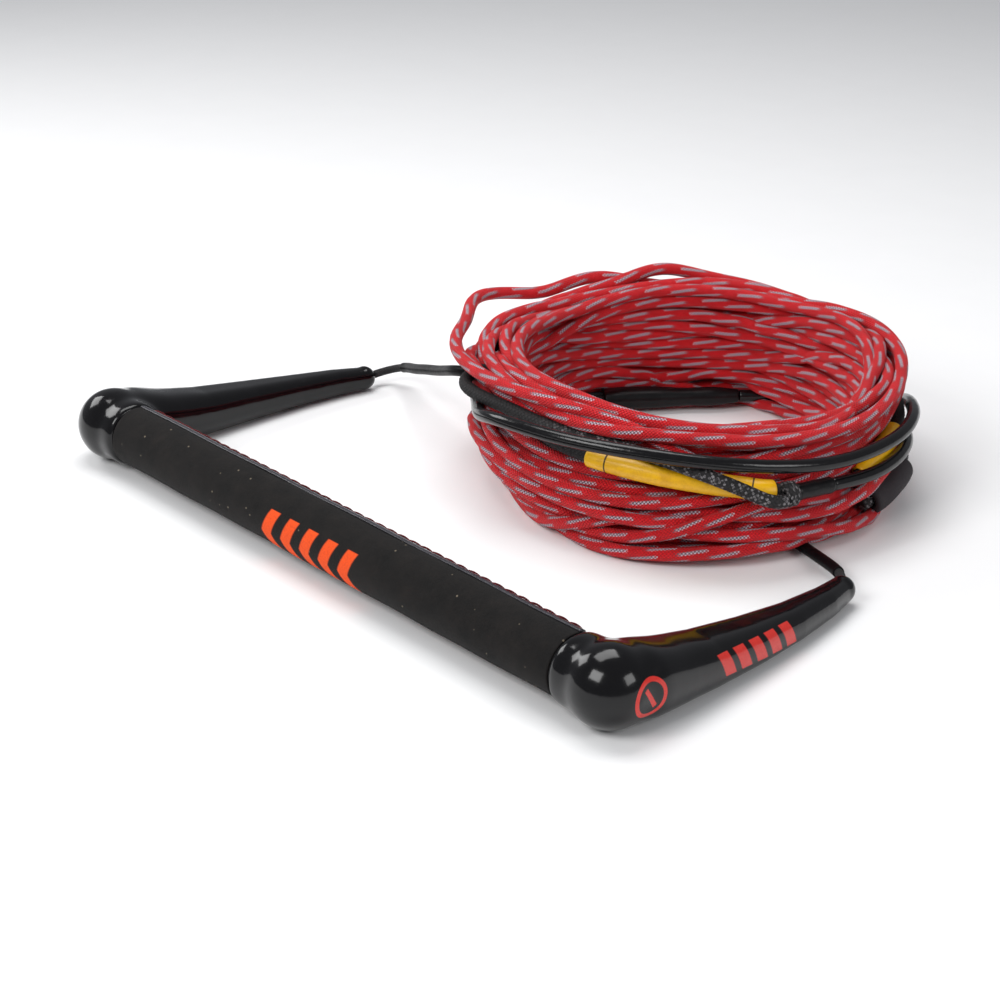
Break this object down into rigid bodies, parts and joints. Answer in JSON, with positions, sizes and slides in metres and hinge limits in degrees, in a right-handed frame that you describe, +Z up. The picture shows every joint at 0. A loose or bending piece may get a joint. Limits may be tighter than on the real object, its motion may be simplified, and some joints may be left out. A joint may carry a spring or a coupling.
{
  "type": "tow rope handle",
  "caption": "Water sports tow handle: straight sueded grip bar with moulded arms, sleeved bridle, coated leader wrapped about a round coil of braided main line",
  "frame": {"origin": "on the ground under the middle of the handle's own box", "axes": "+X along the handle bar, +Y from the bar towards the arm tips and the rope, +Z up"},
  "size_m": [0.381, 0.3231, 0.0691],
  "materials": {
    "alloy_tube": "drawn tube",
    "foam": "closed cell foam",
    "grip_suede": "matt sueded grip cover",
    "grip_seam_edge": "smooth folded edge",
    "stitch_thread": "dark red waxed thread",
    "arm_plastic": "glossy moulded black",
    "plug_plastic": "moulded",
    "bridle_rope": "black braid",
    "black_sleeving": "smooth tube",
    "leader_coating": "glossy coating",
    "yellow_sleeving": "smooth tube",
    "flecked_braid": "black braid with white flecks",
    "float_rubber": "matt foam",
    "main_line": "red braid with grey dashes"
  },
  "bodies": {
    "rope": {"main_line_coil": "main_line", "leader": "leader_coating", "leader_shrink": "black_sleeving", "end_knot": "flecked_braid", "end_loop": "flecked_braid", "front_sleeve": "yellow_sleeving", "side_loop": "flecked_braid", "side_sleeve": "yellow_sleeving", "line_float": "float_rubber", "join_sleeve": "float_rubber", "left_bridle_rope": "bridle_rope", "right_bridle_rope": "bridle_rope", "left_bridle_tube": "black_sleeving", "right_bridle_tube": "black_sleeving"},
    "handle": {"core_tube": "alloy_tube", "foam_core": "foam", "grip_cover": "grip_suede", "grip_seam": "grip_seam_edge", "grip_stitches": "stitch_thread", "left_arm": "arm_plastic", "right_arm": "arm_plastic", "left_tube_plug": "plug_plastic", "right_tube_plug": "plug_plastic", "left_stopper_knot": "bridle_rope", "right_stopper_knot": "bridle_rope", "left_rope_tail": "bridle_rope", "right_rope_tail": "bridle_rope"}
  },
  "joints": [
    {"name": "handle_lift", "type": "hinge", "parent": "rope", "child": "handle", "pos_m": [0, 0.0782, 0.007], "axis": [-1, 0, 0], "range_deg": [0, 80]}
  ]
}
